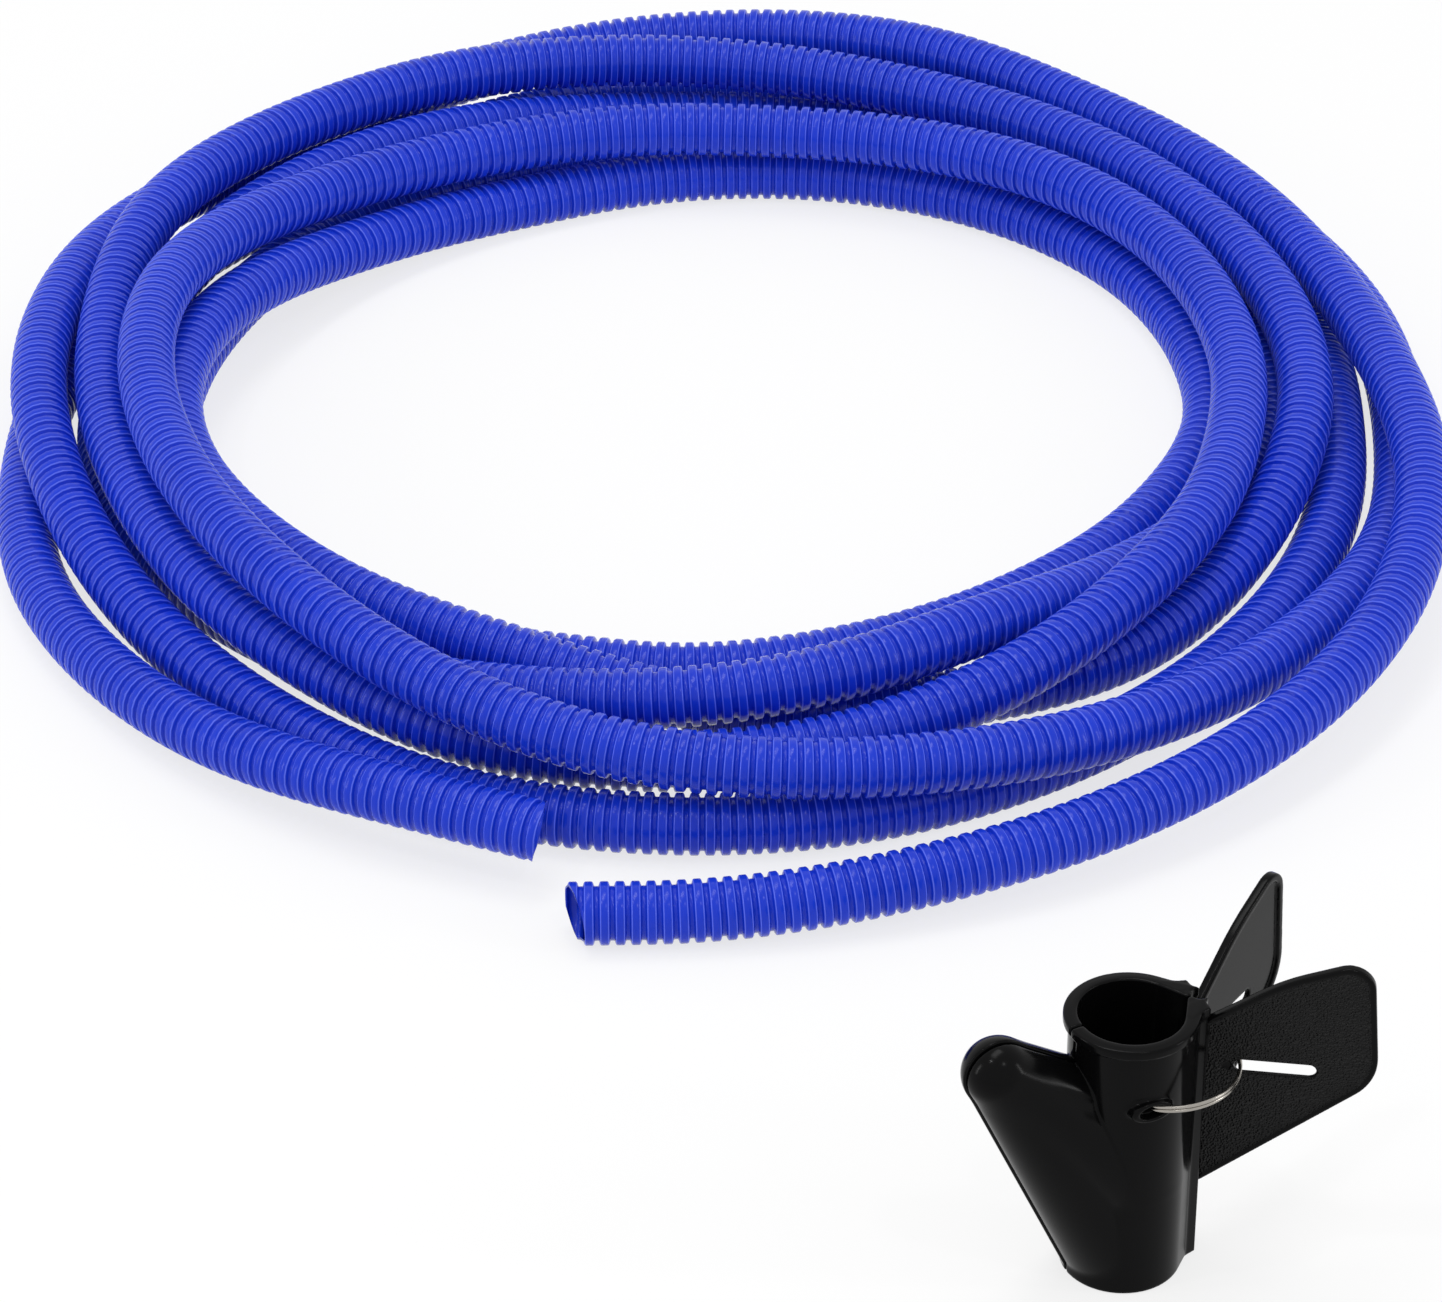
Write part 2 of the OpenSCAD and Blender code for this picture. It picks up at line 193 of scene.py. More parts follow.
TURN_Z = (
    (0.50, 1.20, 1.42, 1.50, 1.40, 0.90, 1.53, 0.75),
    (0.50, 0.50, 0.50, 0.50, 0.50, 1.40, 0.50, 0.70),
    (1.45, 1.20, 0.50, 0.50, 0.50, 0.50, 0.50, 0.50),
    (0.50, 0.50, 0.50, 0.50, 0.50, 0.50, 1.45, 1.25),
    (0.50, 0.50, 1.36, 1.45, 1.40, 1.80, 1.50, 1.45),
    (0.50, 1.53, 1.53, 1.45, 1.40, 1.45, 2.52, 2.50),
    (1.45, 0.95, 0.50, 0.50, 0.50, 0.50, 0.50, 0.50),
    (1.35, 1.35),
)
LEAD_R, LEAD_Z = 17.2, 0.5
FREE_Z, TAIL_Z = 0.5, 1.0      # the tail leans on the strand behind it
FIRST_BEARING, STEP, SAMPLES, PER_TURN = 265.6, 15, 168, 24
KEY_STEP, FIRST_KEY = 45, 180         # the keys lie this far apart, the first here
TURN_GAP = 1.12        # turns that lie closer than this are pushed apart
ROUNDS, SOFT_ROUNDS = 80, 48          # the last rounds only part the turns
YIELD, IRON, PULL = 0.9, 0.25, 0.05   # shares of each round's moves
FINE = 40              # steps for each sample when the route is measured


def curve(a, b, c, d, t):
    """A smooth curve through four values, between the middle two."""
    return 0.5 * (2 * b + (c - a) * t + (2 * a - 5 * b + 4 * c - d) * t ** 2
                  + (3 * b - a - 3 * c + d) * t ** 3)


def wanted_lay():
    """Distance and height at each sample, from the rows above."""
    keys_r = [2 * LEAD_R - TURN_R[0][0], LEAD_R] + [v for row in TURN_R for v in row]
    keys_z = [LEAD_Z, LEAD_Z] + [v for row in TURN_Z for v in row]
    keys = np.array([keys_r, keys_z]).T
    out = []
    for j in range(SAMPLES):
        u = (FIRST_BEARING + STEP * j - FIRST_KEY) / KEY_STEP
        i = int(u)
        after = keys[min(i + 2, len(keys) - 1)]
        out.append(curve(keys[i - 1], keys[i], keys[i + 1], after, u - i))
    return np.array(out)


def settle(lay):
    """Where turns come too close both give way, then stiffness irons the kinks out."""
    wanted, lay = lay.copy(), lay.copy()
    for round_ in range(ROUNDS):
        push = np.zeros_like(lay)
        for o in range(PER_TURN, SAMPLES, PER_TURN):
            apart = lay[o:] - lay[:-o]
            far = np.linalg.norm(apart, axis=1)
            shove = apart / far[:, None] * np.clip(TURN_GAP - far, 0, None)[:, None] / 2
            push[o:] += shove
            push[:-o] -= shove
        lay = lay + YIELD * push
        if round_ < SOFT_ROUNDS:
            mean = lay.copy()
            mean[1:-1] = (lay[:-2] + 2 * lay[1:-1] + lay[2:]) / 4
            lay = lay + IRON * (mean - lay) + PULL * (wanted - lay)
        lay[:, 1] = np.maximum(lay[:, 1], 0.5)      # none sinks into the floor
    return lay


class Route:
    """One smooth line through the settled samples, straight at both ends."""

    def __init__(self):
        lay = settle(wanted_lay())
        lay[0, 1], lay[-1, 1] = FREE_Z, TAIL_Z
        b = np.radians(FIRST_BEARING + STEP * np.arange(SAMPLES))
        p = np.stack([lay[:, 0] * np.cos(b), lay[:, 0] * np.sin(b), lay[:, 1]], 1)
        p = HOSE_OD * p + SHIFT
        n = len(p)
        rows = np.zeros((n, n))
        right = np.zeros((n, 3))
        for i in range(1, n - 1):
            rows[i, i - 1:i + 2] = (1, 4, 1)
            right[i] = 3 * (p[i + 1] - p[i - 1])
        rows[0, 0] = rows[-1, -1] = 1
        right[0] = (4 * p[1] - 3 * p[0] - p[2]) / 2 * (1, 1, 0)
        right[-1] = (3 * p[-1] - 4 * p[-2] + p[-3]) / 2 * (1, 1, 0)
        self.p, self.m = p, np.linalg.solve(rows, right)
        self.u = np.linspace(0, n - 1, (n - 1) * FINE + 1)
        pieces = np.linalg.norm(np.diff(self.at(self.u)[0], axis=0), axis=1)
        self.s = np.concatenate([[0], np.cumsum(pieces)])
        self.lead = FREE_RIBS * RIB_PITCH
        self.ribs = round((self.s[-1] + (FREE_RIBS + TAIL_RIBS) * RIB_PITCH) / RIB_PITCH)
        self.length = self.ribs * RIB_PITCH

    def at(self, u):
        """Places and directions on the curved part, for u from 0 to the last sample."""
        i = np.minimum(np.floor(u).astype(int), len(self.p) - 2)
        t = (u - i)[:, None]
        a, b, ma, mb = self.p[i], self.p[i + 1], self.m[i], self.m[i + 1]
        place = ((2 * t ** 3 - 3 * t ** 2 + 1) * a + (t ** 3 - 2 * t ** 2 + t) * ma
                 + (3 * t ** 2 - 2 * t ** 3) * b + (t ** 3 - t ** 2) * mb)
        slope = ((6 * t ** 2 - 6 * t) * a + (3 * t ** 2 - 4 * t + 1) * ma
                 + (6 * t - 6 * t ** 2) * b + (3 * t ** 2 - 2 * t) * mb)
        return place, unit(slope)

    def along(self, s):
        """Places and directions at distances s from the free end's cut."""
        s = np.asarray(s, dtype=float) - self.lead
        place, heading = self.at(np.interp(np.clip(s, 0, self.s[-1]), self.s, self.u))
        beyond = np.minimum(s, 0) + np.maximum(s - self.s[-1], 0)
        return place + beyond[:, None] * heading, heading


# A rib's profile: share of the pitch, and how far up it is from groove to crown.
RIB = ((0.09, 0.00), (0.14, 0.10), (0.195, 0.68), (0.24, 0.90), (0.30, 1.00),
       (0.70, 1.00), (0.76, 0.90), (0.805, 0.68), (0.86, 0.10), (0.91, 0.00))
GROOVE_R = HOSE_BORE / 2 + WALL


def hose_rings(route, s, radii):
    """Rings along the hose, held back at its ends by the two oblique cuts."""
    turn = 2 * np.pi * np.arange(HOSE_SIDES) / HOSE_SIDES
    first, last = [np.maximum(cut[0] + cut[1] * np.cos(turn) + cut[2] * np.sin(turn), 0)
                   for cut in (FREE_CUT, TAIL_CUT)]
    s_cut = np.clip(s[:, None], first, route.length - last)
    middle, heading = route.along(s_cut.ravel())
    side = unit(np.cross(heading, [0.0, 0.0, 1.0]))
    up = np.cross(side, heading)
    turn = np.tile(turn, len(s))[:, None]
    spokes = np.cos(turn) * up + np.sin(turn) * side
    out = middle + np.interp(s_cut.ravel(), s, radii)[:, None] * spokes
    return out.reshape(len(s), HOSE_SIDES, 3)


def make_hose(route, material):
    crown = HOSE_OD / 2
    share = np.array([q[0] for q in RIB])
    lift = np.array([q[1] for q in RIB])
    s = (np.arange(route.ribs)[:, None] + share[None]).ravel() * RIB_PITCH
    up = np.tile(lift, route.ribs)
    s = np.concatenate([[0.0], s, [route.length]])
    radii = GROOVE_R + (crown - GROOVE_R) * np.concatenate([[0.0], up, [0.0]])
    outer = hose_rings(route, s, radii)
    # inside, the wall follows the ribs at both mouths and is a plain bore between
    mouth = MOUTH_RIBS * RIB_PITCH
    near = (s < mouth) | (s > route.length - mouth)
    plain = np.arange(MOUTH_RIBS + 0.5, route.ribs - MOUTH_RIBS, 2) * RIB_PITCH
    inner_s = np.concatenate([s[near], plain])
    inner_r = np.concatenate([radii[near] - WALL, np.full(len(plain), HOSE_BORE / 2)])
    order = np.argsort(inner_s)
    inner = hose_rings(route, inner_s[order], inner_r[order])[::-1]
    count = len(outer) + len(inner)
    points = np.concatenate([outer, inner]).reshape(-1, 3)
    obj = new_mesh("hose", points, [skin(0, count, HOSE_SIDES, closed=True)], [material])
    # the rounded edges of the crowns are marked, where the material paints a thin pale highlight
    # line
    highlight_edge = np.concatenate([[0.0], np.tile(np.isclose(lift, 0.9), route.ribs), [0.0]])
    highlight_edge = np.concatenate([highlight_edge, np.zeros(len(inner))]).repeat(HOSE_SIDES)
    obj.data.attributes.new("painted_highlight_edge", "FLOAT", "POINT").data.foreach_set("value", highlight_edge)
    return obj


# --------------------------------------------------------------- materials
def material(name, color, roughness, specular=0.5, metallic=0.0):
    m = bpy.data.materials.new(name)
    m.use_nodes = True
    shader = m.node_tree.nodes["Principled BSDF"]
    shader.inputs["Base Color"].default_value = (*color, 1)
    shader.inputs["Roughness"].default_value = roughness
    shader.inputs["Specular IOR Level"].default_value = specular
    shader.inputs["Metallic"].default_value = metallic
    return m, m.node_tree.nodes, m.node_tree.links, shader


def noise(nodes, links, coords, scale, detail=3.0, rough=0.5):
    node = nodes.new("ShaderNodeTexNoise")
    node.inputs["Scale"].default_value = scale
    node.inputs["Detail"].default_value = detail
    node.inputs["Roughness"].default_value = rough
    links.new(coords, node.inputs["Vector"])
    return node.outputs["Fac"]


def spread(nodes, links, value, low, high, from_low=0.3, from_high=0.7):
    """A noise value stretched to run from low to high."""
    node = nodes.new("ShaderNodeMapRange")
    node.inputs["From Min"].default_value = from_low
    node.inputs["From Max"].default_value = from_high
    node.inputs["To Min"].default_value = low
    node.inputs["To Max"].default_value = high
    links.new(value, node.inputs["Value"])
    return node.outputs["Result"]


def bump(nodes, links, height, distance, strength, after=None):
    node = nodes.new("ShaderNodeBump")
    node.inputs["Distance"].default_value = distance
    node.inputs["Strength"].default_value = strength
    links.new(height, node.inputs["Height"])
    if after is not None:
        links.new(after, node.inputs["Normal"])
    return node.outputs["Normal"]


def mixed(nodes, links, factor, a, b):
    node = nodes.new("ShaderNodeMix")
    node.data_type = "RGBA"
    node.inputs["A"].default_value = (*a, 1)
    node.inputs["B"].default_value = (*b, 1)
    links.new(factor, node.inputs["Factor"])
    return node.outputs["Result"]


def object_coords(nodes):
    return nodes.new("ShaderNodeTexCoord").outputs["Object"]


def hose_material():
    m, nodes, links, shader = material("blue_polymer", (0.007, 0.036, 0.57), 0.22, 0.2)
    at = object_coords(nodes)
    cloud = spread(nodes, links, noise(nodes, links, at, 45, 3), 0, 1)
    body = mixed(nodes, links, cloud, (0.006, 0.033, 0.54), (0.008, 0.039, 0.60))
    # painted highlight: a paler blue along the crowns' rounded edges stands in for the thin
    # reflections of the side lamps
    highlight_edge = nodes.new("ShaderNodeAttribute")
    highlight_edge.attribute_name = "painted_highlight_edge"
    pale = mixed(nodes, links, highlight_edge.outputs["Fac"], (0, 0, 0), (0.12, 0.18, 0.88))
    links.new(body, pale.node.inputs["A"])
    links.new(pale, shader.inputs["Base Color"])
    links.new(spread(nodes, links, noise(nodes, links, at, 380, 4), 0.17, 0.27),
              shader.inputs["Roughness"])
    links.new(bump(nodes, links, noise(nodes, links, at, 900, 3), 0.0001, 0.25),
              shader.inputs["Normal"])
    return m


def gloss_black():
    m, nodes, links, shader = material("black_gloss", (0.0025, 0.0025, 0.0027), 0.16, 0.07)
    at = object_coords(nodes)
    links.new(spread(nodes, links, noise(nodes, links, at, 120, 4), 0.13, 0.20),
              shader.inputs["Roughness"])
    links.new(bump(nodes, links, noise(nodes, links, at, 60, 2), 0.0004, 0.06),
              shader.inputs["Normal"])
    return m


def grained_black():
    m, nodes, links, shader = material("black_grain", (0.0035, 0.0035, 0.0037), 0.34, 0.14)
    at = object_coords(nodes)
    cells = nodes.new("ShaderNodeTexVoronoi")
    cells.inputs["Scale"].default_value = 1700
    links.new(at, cells.inputs["Vector"])
    pebbles = bump(nodes, links, cells.outputs["Distance"], 0.0005, 1.0)
    links.new(bump(nodes, links, noise(nodes, links, at, 2500, 2), 0.0002, 0.8, pebbles),
              shader.inputs["Normal"])
    links.new(spread(nodes, links, noise(nodes, links, at, 500, 3), 0.28, 0.40),
              shader.inputs["Roughness"])
    return m


def bright_wire():
    m, nodes, links, shader = material("bright_wire", (0.34, 0.32, 0.29), 0.2, 0.5, 1.0)
    at = object_coords(nodes)
    links.new(spread(nodes, links, noise(nodes, links, at, 900, 4), 0.14, 0.30),
              shader.inputs["Roughness"])
    return m


# ---------------------------------------------- solids from distance fields
def smooth_min(a, b, k):
    h = np.clip(0.5 + 0.5 * (b - a) / k, 0, 1)
    return b + (a - b) * h - k * h * (1 - h)


def smooth_max(a, b, k):
    return -smooth_min(-a, -b, k)


def drop_2d(x, y, r, tip_r, far):
    """Distance to a circle drawn out to a smaller circle on +x."""
    y = np.abs(y)
    b = (r - tip_r) / far
    a = math.sqrt(1 - b * b)
    side = a * x - b * y
    flank = a * y + b * x - r
    head = np.hypot(x, y) - r
    tip = np.hypot(x - far, y) - tip_r
    return np.where(side < 0, head, np.where(side > a * far, tip, flank))


def cone_2d(px, pz, py, start, end):
    """Distance to the hull of two spheres whose middles lie in the plane y = 0."""
    (ax, az, ar), (bx, bz, br) = start, end
    length = math.hypot(bx - ax, bz - az)
    dx, dz = (bx - ax) / length, (bz - az) / length
    x = (px - ax) * dx + (pz - az) * dz
    y = np.sqrt(np.maximum((px - ax) ** 2 + (pz - az) ** 2 + py ** 2 - x * x, 0))
    b = (ar - br) / length
    a = math.sqrt(1 - b * b)
    side = a * x - b * y
    beyond = np.where(side > a * length, np.hypot(x - length, y) - br, a * y + b * x - ar)
    return np.where(side < 0, np.hypot(x, y) - ar, beyond)


def nose_field(x, y, z, grow):
    """Distance to the hull of the nose's three spheres."""
    tip, heel, foot = [(q[0], q[1], q[2] + grow) for q in (NOSE_TIP, NOSE_HEEL, NOSE_FOOT)]
    ridges = np.minimum(cone_2d(x, z, y, tip, heel), cone_2d(x, z, y, heel, foot))
    edges = np.minimum(ridges, cone_2d(x, z, y, tip, foot))
    # between the three, the two sides are flat
    m = np.array([[heel[0] - tip[0], heel[1] - tip[1]], [foot[0] - tip[0], foot[1] - tip[1]]])
    g = np.linalg.solve(m, [heel[2] - tip[2], foot[2] - tip[2]])
    steep = math.sqrt(1 - g @ g)
    far = np.abs(y) / steep
    qx, qz = x + g[0] * far, z + g[1] * far
    inv = np.linalg.inv(m.T)
    u = inv[0, 0] * (qx - tip[0]) + inv[0, 1] * (qz - tip[1])
    v = inv[1, 0] * (qx - tip[0]) + inv[1, 1] * (qz - tip[1])
    inside = (u > 0) & (v > 0) & (u + v < 1)
    flat = np.abs(y) * steep - (tip[2] + g[0] * (x - tip[0]) + g[1] * (z - tip[1]))
    return np.where(inside, flat, edges)


def nose_outside(x, y, z, grow):
    """The nose with its fuller flanks."""
    tip, flank = [(q[0], q[1], q[2] + grow) for q in (NOSE_TIP, NOSE_FLANK)]
    return smooth_min(nose_field(x, y, z, grow), cone_2d(x, z, y, tip, flank), 0.8)


def wing_outline():
    """Points round the wing's five corners."""
    points = []
    n = len(WING_CORNERS)

    def tangent(p, q):
        dx, dz = q[0] - p[0], q[1] - p[1]
        return math.atan2(dz, dx) - math.pi / 2 + math.asin((p[2] - q[2]) / math.hypot(dx, dz))

    for i, p in enumerate(WING_CORNERS):
        a = tangent(WING_CORNERS[i - 1], p)
        b = tangent(p, WING_CORNERS[(i + 1) % n])
        b = a + (b - a) % (2 * math.pi)
        steps = max(3, int((b - a) * max(p[2], 8) / 0.9))
        for k in range(steps + 1):
            t = a + (b - a) * k / steps
            points.append((p[0] + p[2] * math.cos(t), p[1] + p[2] * math.sin(t)))
    return np.array(points)


def polygon_2d(t, h, points):
    """Signed distance to a polygon, negative inside."""
    best = np.full(np.broadcast(t, h).shape, 1e9)
    inside = np.zeros(best.shape, dtype=bool)
    for (ax, ay), (bx, by) in zip(points, np.roll(points, -1, axis=0)):
        ex, ey = bx - ax, by - ay
        wx, wy = t - ax, h - ay
        c = np.clip((wx * ex + wy * ey) / max(ex * ex + ey * ey, 1e-12), 0, 1)
        best = np.minimum(best, (wx - ex * c) ** 2 + (wy - ey * c) ** 2)
        crosses = (ay > h) != (by > h)
        with np.errstate(divide="ignore", invalid="ignore"):
            inside ^= crosses & (t < (bx - ax) * (h - ay) / (by - ay) + ax)
    return np.where(inside, -1, 1) * np.sqrt(best)


VOXEL = 0.3
FIELD_LIMIT = 3.0      # distances beyond this are all taken as this
LOW = np.array([-43.0, -28.0, -1.5])      # corners of the box that the fields fill
HIGH = np.array([52.0, 1.5, 84.0])
T0, T_END, T_STEP = -8.0, 42, 0.2         # the wing's table, from hinge outwards


def wing_table(z):
    """The wing's outline, as distances on a grid of t by the field's own heights."""
    t = np.arange(T0, T_END, T_STEP)[:, None]
    h = z.ravel()[None]
    sheet = polygon_2d(t, h, wing_outline())
    t0, t1, h0, h1 = WING_ROOT
    root = np.maximum(np.maximum(t0 - t, t - t1), np.maximum(h0 - h, h - h1)) + 0 * sheet
    slot = np.hypot(t - np.clip(t, SLOT[0], SLOT[1]), h - RING_Z) - SLOT[2]
    return sheet, np.minimum(sheet, root), slot


def look_up(table, t):
    u = np.clip((t - T0) / T_STEP, 0, len(table) - 1.001)
    i = u.astype(int)
    f = (u - i)[..., None]
    return (table[i] * (1 - f) + table[i + 1] * f).astype(np.float32)


def between(z, z0, z1):
    """Distance to the slab from z0 to z1, negative inside."""
    return np.abs(z - (z0 + z1) / 2) - (z1 - z0) / 2


def strip_field(x, y, z, grow, z0, z1):
    """The flat strip that stands off the barrel beside the hinge."""
    flat_x, flat_y = x[..., 0] + 0 * y[..., 0], y[..., 0] + 0 * x[..., 0]
    plan = polygon_2d(flat_x, flat_y, STRIP)[..., None] - grow
    return smooth_max(plan + 0 * z, between(z, z0, z1), 0.5)


def wing_coords(x, y):
    """Distance from the hinge and through the wing, for the front shell's side."""
    t = (x - HINGE_X) * math.cos(WING_ANGLE) - y * math.sin(WING_ANGLE)
    w = -(x - HINGE_X) * math.sin(WING_ANGLE) - y * math.cos(WING_ANGLE) - WING_OFF
    return t, w


def shell_field(x, y, z, rear):
    """Distance to one shell, drawn on the front's side. rear picks its own details."""
    body = drop_2d(x, y, BARREL_R, 2.2, HINGE_X - 0.3) + 0 * z
    body = smooth_max(body, between(z, 0, BARREL_H), 0.8)
    rim = smooth_max(drop_2d(x, y, RIM_R, 2.4, HINGE_X - 0.5) + 0 * z,
                     np.abs(z - BARREL_H + RIM_H / 2) - RIM_H / 2, 0.7)
    body = smooth_min(body, strip_field(x, y, z, -0.1, 0, BARREL_H - 1), 0.25)
    rim = smooth_min(rim, strip_field(x, y, z, 0.4, BARREL_H - RIM_H, BARREL_H), 0.3)
    outer = smooth_min(body, rim, 0.5)
    nose = smooth_max(nose_outside(x, y, z, REAR_NOSE_GROWS if rear else 0.0), -z, 0.8)
    outer = smooth_min(outer, nose, 0.35)
    # oval lip where the ring goes in
    oval = (np.hypot((x - LIP[0]) / LIP[1], (z - RING_Z) / LIP[2]) - 1) * LIP[2]
    lip = smooth_max(oval + 0 * y, np.abs(y + LIP_Y[0]) - LIP_Y[1], 0.8)
    outer = smooth_min(outer, lip, 0.6)
    bore = drop_2d(x, y, BORE_R, 0.6, HINGE_X - 4.0) + 0 * z
    hollow = np.minimum(bore, nose_field(x, y, z, -NOSE_WALL))
    shell = smooth_max(outer, -hollow, 0.5)
    shell = smooth_max(shell, -smooth_max(oval + 1.0 + 0 * y, y + LIP_Y[2], 0.4), 0.5)
    # the wing
    sheet, whole, slot = wing_table(z)
    t, w = wing_coords(x, y)
    t = t[..., 0]
    whole, sheet3, slot3 = look_up(whole, t), look_up(sheet, t), look_up(slot, t)
    wing = smooth_max(whole, np.abs(w - WING_T / 2) - WING_T / 2, 0.6)
    wing = smooth_max(wing, -smooth_max(sheet3 + WING_PANEL[0], w - WING_PANEL[1], 0.5), 0.5)
    field = smooth_max(sheet3 + WING_FIELD[0], WING_T - WING_FIELD[1] - w, 0.2)
    wing = smooth_max(wing, -field, 0.2)
    wing = smooth_max(wing, -slot3, 0.4)
    sink = np.sqrt((t - SINK[0])[..., None] ** 2 + (z - RING_Z) ** 2) - SINK[1]
    wing = smooth_max(wing, -smooth_max(sink, WING_T - SINK[2] - w, 0.2), 0.2)
    wing = smooth_max(wing, -bore, 0.3)
    shell = smooth_min(shell, wing, 0.5)
    # parted from the other shell, with room for the hinge
    shell = smooth_max(shell, y + GAP + 0 * z, 0.5)
    pin = np.hypot(x - HINGE_X, y)
    shell = smooth_max(shell, -(pin - KNUCKLE_R - KNUCKLE_ROOM) + 0 * z, 0.3)
    wx = (x - HINGE_X) * math.cos(WEB_ANGLE) - y * math.sin(WEB_ANGLE)
    wy = (x - HINGE_X) * math.sin(WEB_ANGLE) + y * math.cos(WEB_ANGLE)
    web = np.maximum(np.abs(wx - WEB[0]) - WEB[0], np.abs(wy) - WEB[1])
    for z0, z1 in KNUCKLE_REAR if rear else KNUCKLE_FRONT:
        knuckle = np.minimum(pin - KNUCKLE_R, web) + 0 * z
        knuckle = smooth_max(knuckle, between(z, z0, z1), 0.4)
        shell = smooth_min(shell, knuckle, 0.4)
    return shell.astype(np.float32)


def field_mesh(field):
    """Points (mm) and faces of a field's surface, facing outwards."""
    grid = openvdb.FloatGrid(FIELD_LIMIT)
    grid.copyFromArray(np.clip(field, -FIELD_LIMIT, FIELD_LIMIT))
    points, triangles, quads = grid.convertToPolygons(isovalue=0.0, adaptivity=0.0)
    points = points * VOXEL + LOW
    a, b, c = (points[quads[:, i]] for i in range(3))
    d = points[quads[:, 3]]
    volume = np.einsum("ij,ij->i", a, np.cross(b, c) + np.cross(c, d)).sum()
    if volume < 0:
        quads, triangles = quads[:, ::-1], triangles[:, ::-1]
    return points, triangles, quads


def to_part(points):
    """From the tool's own frame to the part's frame, in mm."""
    c, s = math.cos(TOOL_TURN), math.sin(TOOL_TURN)
    return points @ np.array([[c, s, 0], [-s, c, 0], [0, 0, 1]]) + TOOL_AT


def make_shell(name, rear, materials):
    x, y, z = (np.arange(LOW[i], HIGH[i], VOXEL) for i in range(3))
    x, y, z = x[:, None, None], y[None, :, None], z[None, None, :]
    points, triangles, quads = field_mesh(shell_field(x, y, z, rear))
    # faces of the wing's outer side get the grained finish
    sheet = wing_table(np.arange(LOW[2], HIGH[2], VOXEL))[0]

    def is_grained(faces):
        middle = points[faces].mean(axis=1)
        t, w = wing_coords(middle[:, 0], middle[:, 1])
        i = np.clip(((t - T0) / T_STEP).astype(int), 0, len(sheet) - 1)
        j = np.clip(((middle[:, 2] - LOW[2]) / VOXEL).astype(int), 0, sheet.shape[1] - 1)
        return (w > WING_T - 0.35) & (w < WING_T + 0.3) & (sheet[i, j] < -1.45) & (t > 1.5)

    grained = np.concatenate([is_grained(f) for f in (triangles, quads) if len(f)])
    if rear:
        points = points * (1, -1, 1)
        triangles, quads = triangles[:, ::-1], quads[:, ::-1]
    obj = new_mesh(name, to_part(points), [triangles, quads], materials)
    obj.data.polygons.foreach_set("material_index", grained.astype(np.int32))
    return obj


def make_ring(material):
    """Two turns of spring wire, from one shell's lip round to the other's."""
    points, faces, first = [], [], 0
    a = np.radians(np.linspace(-RING_END, RING_END, RING_STEPS))
    heading = np.stack([-np.sin(a), np.cos(a), 0 * a], 1)
    taper = np.array([0.02, 0.6, 0.9] + [1.0] * (RING_STEPS - 6) + [0.9, 0.6, 0.02])
    for level in (-1, 1):
        path = np.stack([RING_X + RING_R * np.cos(a), RING_R * np.sin(a),
                         np.full(RING_STEPS, RING_Z + level * COIL_RISE * WIRE_R)], 1)
        points.append(rings_along(path, heading, WIRE_R * taper, RING_SIDES).reshape(-1, 3))
        faces.append(skin(first, RING_STEPS, RING_SIDES))
        first += RING_STEPS * RING_SIDES
    return new_mesh("ring", to_part(np.concatenate(points)), [np.concatenate(faces)], [material])


# --------------------------------------------------------------------- hose
route = Route()
hose = make_hose(route, hose_material())
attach(hose, "hose")
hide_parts("hose_free_mouth", "hose_free_end", "hose_coil", "hose_tail_end",
            "hose_tail_mouth")

# --------------------------------------------------------------------- tool
blacks = [gloss_black(), grained_black()]
front = make_shell("front_half", False, blacks)
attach(front, "tool_front")
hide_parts("front_shell")
back = make_shell("rear_half", True, blacks)
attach(back, "tool_rear")
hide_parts("rear_shell")
ring = make_ring(bright_wire())
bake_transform(ring)
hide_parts("spring_ring")


# -------------------------------------------------------------------- stage
PLAIN_STRENGTH, WHITE_STRENGTH = 0.70, 1.0    # the world's light, and its look
FLOOR_GLOW = 0.75      # share of plain white in the floor where it is seen directly
FLOOR_SIZE, FLOOR_DROP = 12, 0.00005          # metres
LAMPS = (              # name, place, size and power in watts
    ("above", (-0.15, 0.15, 1.8), (1.0, 0.5), 8.5),
    ("key", (-0.7, -0.6, 1.7), (0.10, 0.10), 2.2),
    ("second", (0.5, -1.0, 1.7), (0.12, 0.12), 1.6),
    ("left", (-1.5, -0.5, 0.6), (0.14, 0.8), 3.2),
    ("right", (1.5, -0.5, 0.6), (0.14, 0.8), 3.2),
)


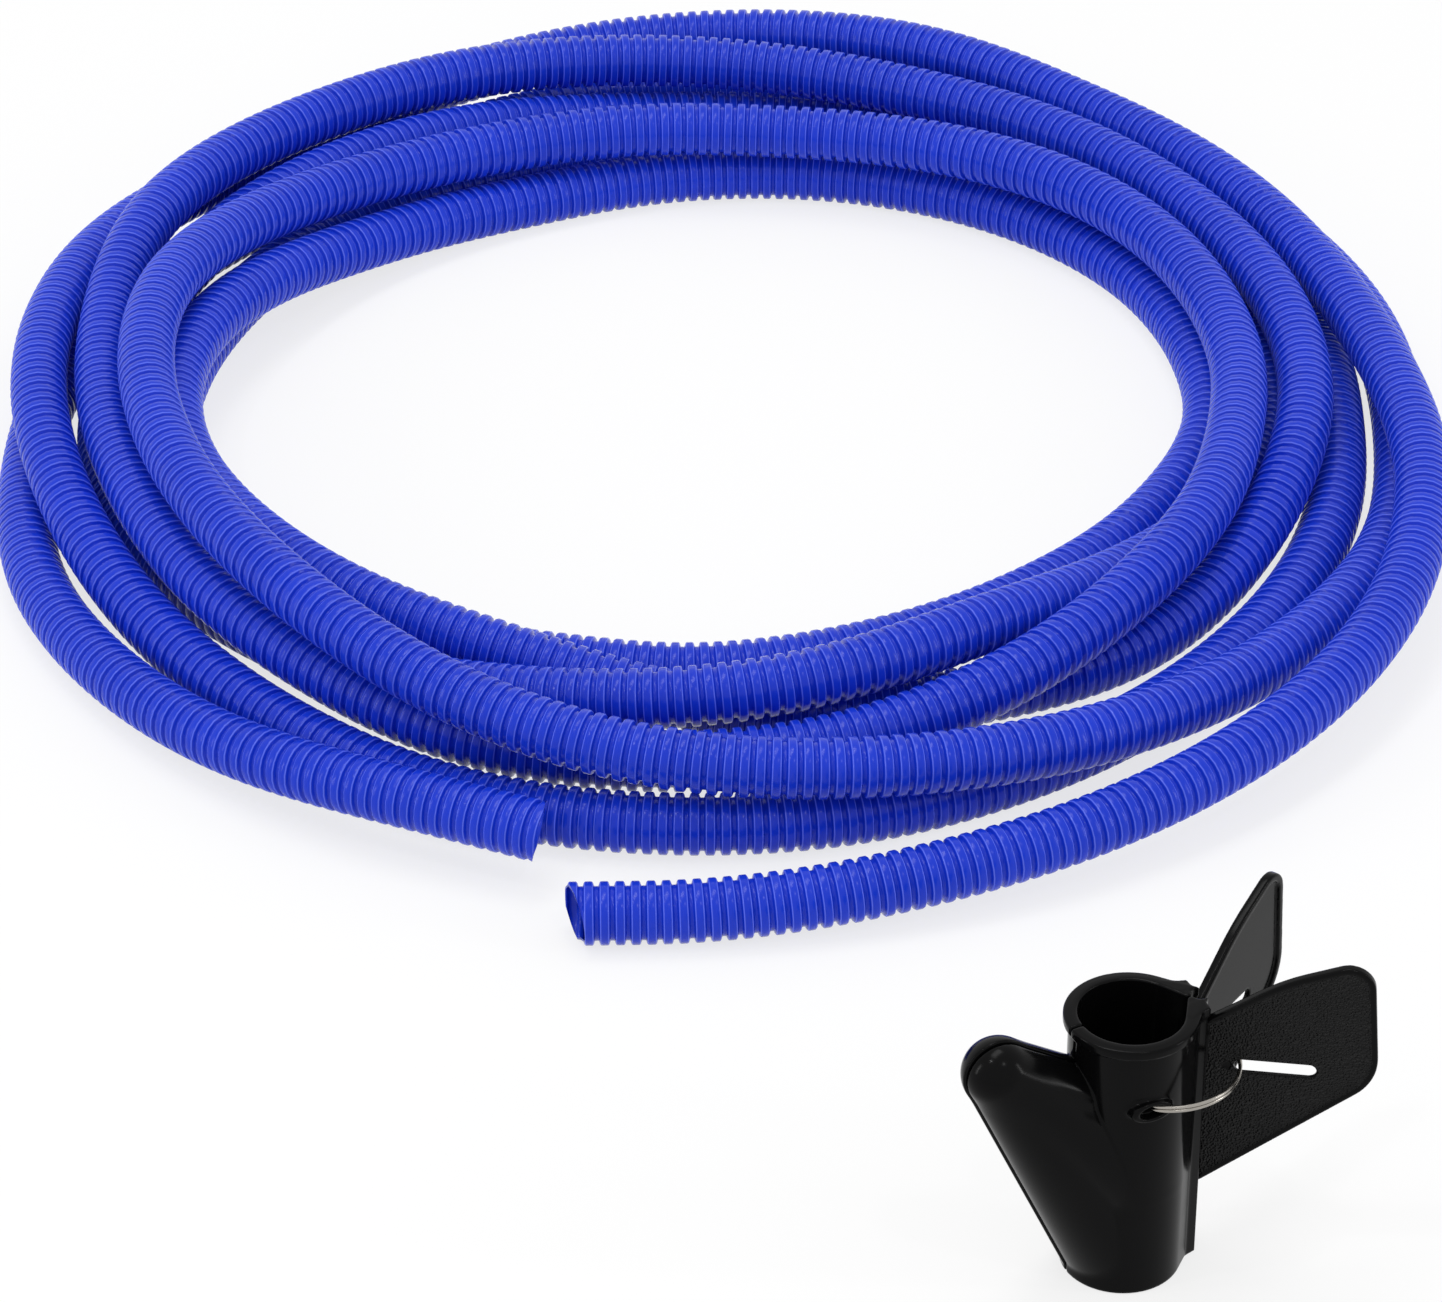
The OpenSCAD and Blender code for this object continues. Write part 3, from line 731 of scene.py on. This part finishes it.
def seen_directly(nodes, links):
    """1 on rays that show the background: the camera's, mirrored and transmitted."""
    path = nodes.new("ShaderNodeLightPath")
    seen = nodes.new("ShaderNodeMath")
    seen.operation = "MAXIMUM"
    links.new(path.outputs["Is Camera Ray"], seen.inputs[0])
    links.new(path.outputs["Is Glossy Ray"], seen.inputs[1])
    either = nodes.new("ShaderNodeMath")
    either.operation = "MAXIMUM"
    links.new(seen.outputs[0], either.inputs[0])
    links.new(path.outputs["Is Transmission Ray"], either.inputs[1])
    return either.outputs[0]


world = bpy.data.worlds.new("studio")
bpy.context.scene.world = world
world.use_nodes = True
wn, wl = world.node_tree.nodes, world.node_tree.links
wn.clear()
output = wn.new("ShaderNodeOutputWorld")
seen = seen_directly(wn, wl)
plain = wn.new("ShaderNodeBackground")
plain.inputs["Strength"].default_value = PLAIN_STRENGTH
white = wn.new("ShaderNodeBackground")
white.inputs["Strength"].default_value = WHITE_STRENGTH
for node in (plain, white):
    node.inputs["Color"].default_value = (1, 1, 1, 1)
mix = wn.new("ShaderNodeMixShader")
wl.new(seen, mix.inputs[0])
wl.new(plain.outputs[0], mix.inputs[1])
wl.new(white.outputs[0], mix.inputs[2])
wl.new(mix.outputs[0], output.inputs["Surface"])

bpy.ops.mesh.primitive_plane_add(size=FLOOR_SIZE, location=(0, 0, -FLOOR_DROP))
floor = bpy.context.object
floor.name = "floor"
m, nodes, links, shader = material("floor", (0.93, 0.93, 0.93), 0.9, 0.0)
glow = nodes.new("ShaderNodeEmission")
share = nodes.new("ShaderNodeMath")
share.operation = "MULTIPLY"
share.inputs[1].default_value = FLOOR_GLOW
links.new(seen_directly(nodes, links), share.inputs[0])
pale = nodes.new("ShaderNodeMixShader")
links.new(share.outputs[0], pale.inputs[0])
links.new(shader.outputs[0], pale.inputs[1])
links.new(glow.outputs[0], pale.inputs[2])
links.new(pale.outputs[0], nodes["Material Output"].inputs["Surface"])
floor.data.materials.append(m)


def soft_light(name, place, size, power):
    data = bpy.data.lights.new(name, "AREA")
    data.shape = "RECTANGLE"
    data.size, data.size_y = size
    data.energy = power
    obj = bpy.data.objects.new(name, data)
    obj.location = place
    obj.rotation_euler = (-Vector(place)).to_track_quat("-Z", "Y").to_euler()
    bpy.context.scene.collection.objects.link(obj)


for lamp in LAMPS:
    soft_light(*lamp)
bpy.context.scene.view_settings.view_transform = "Standard"
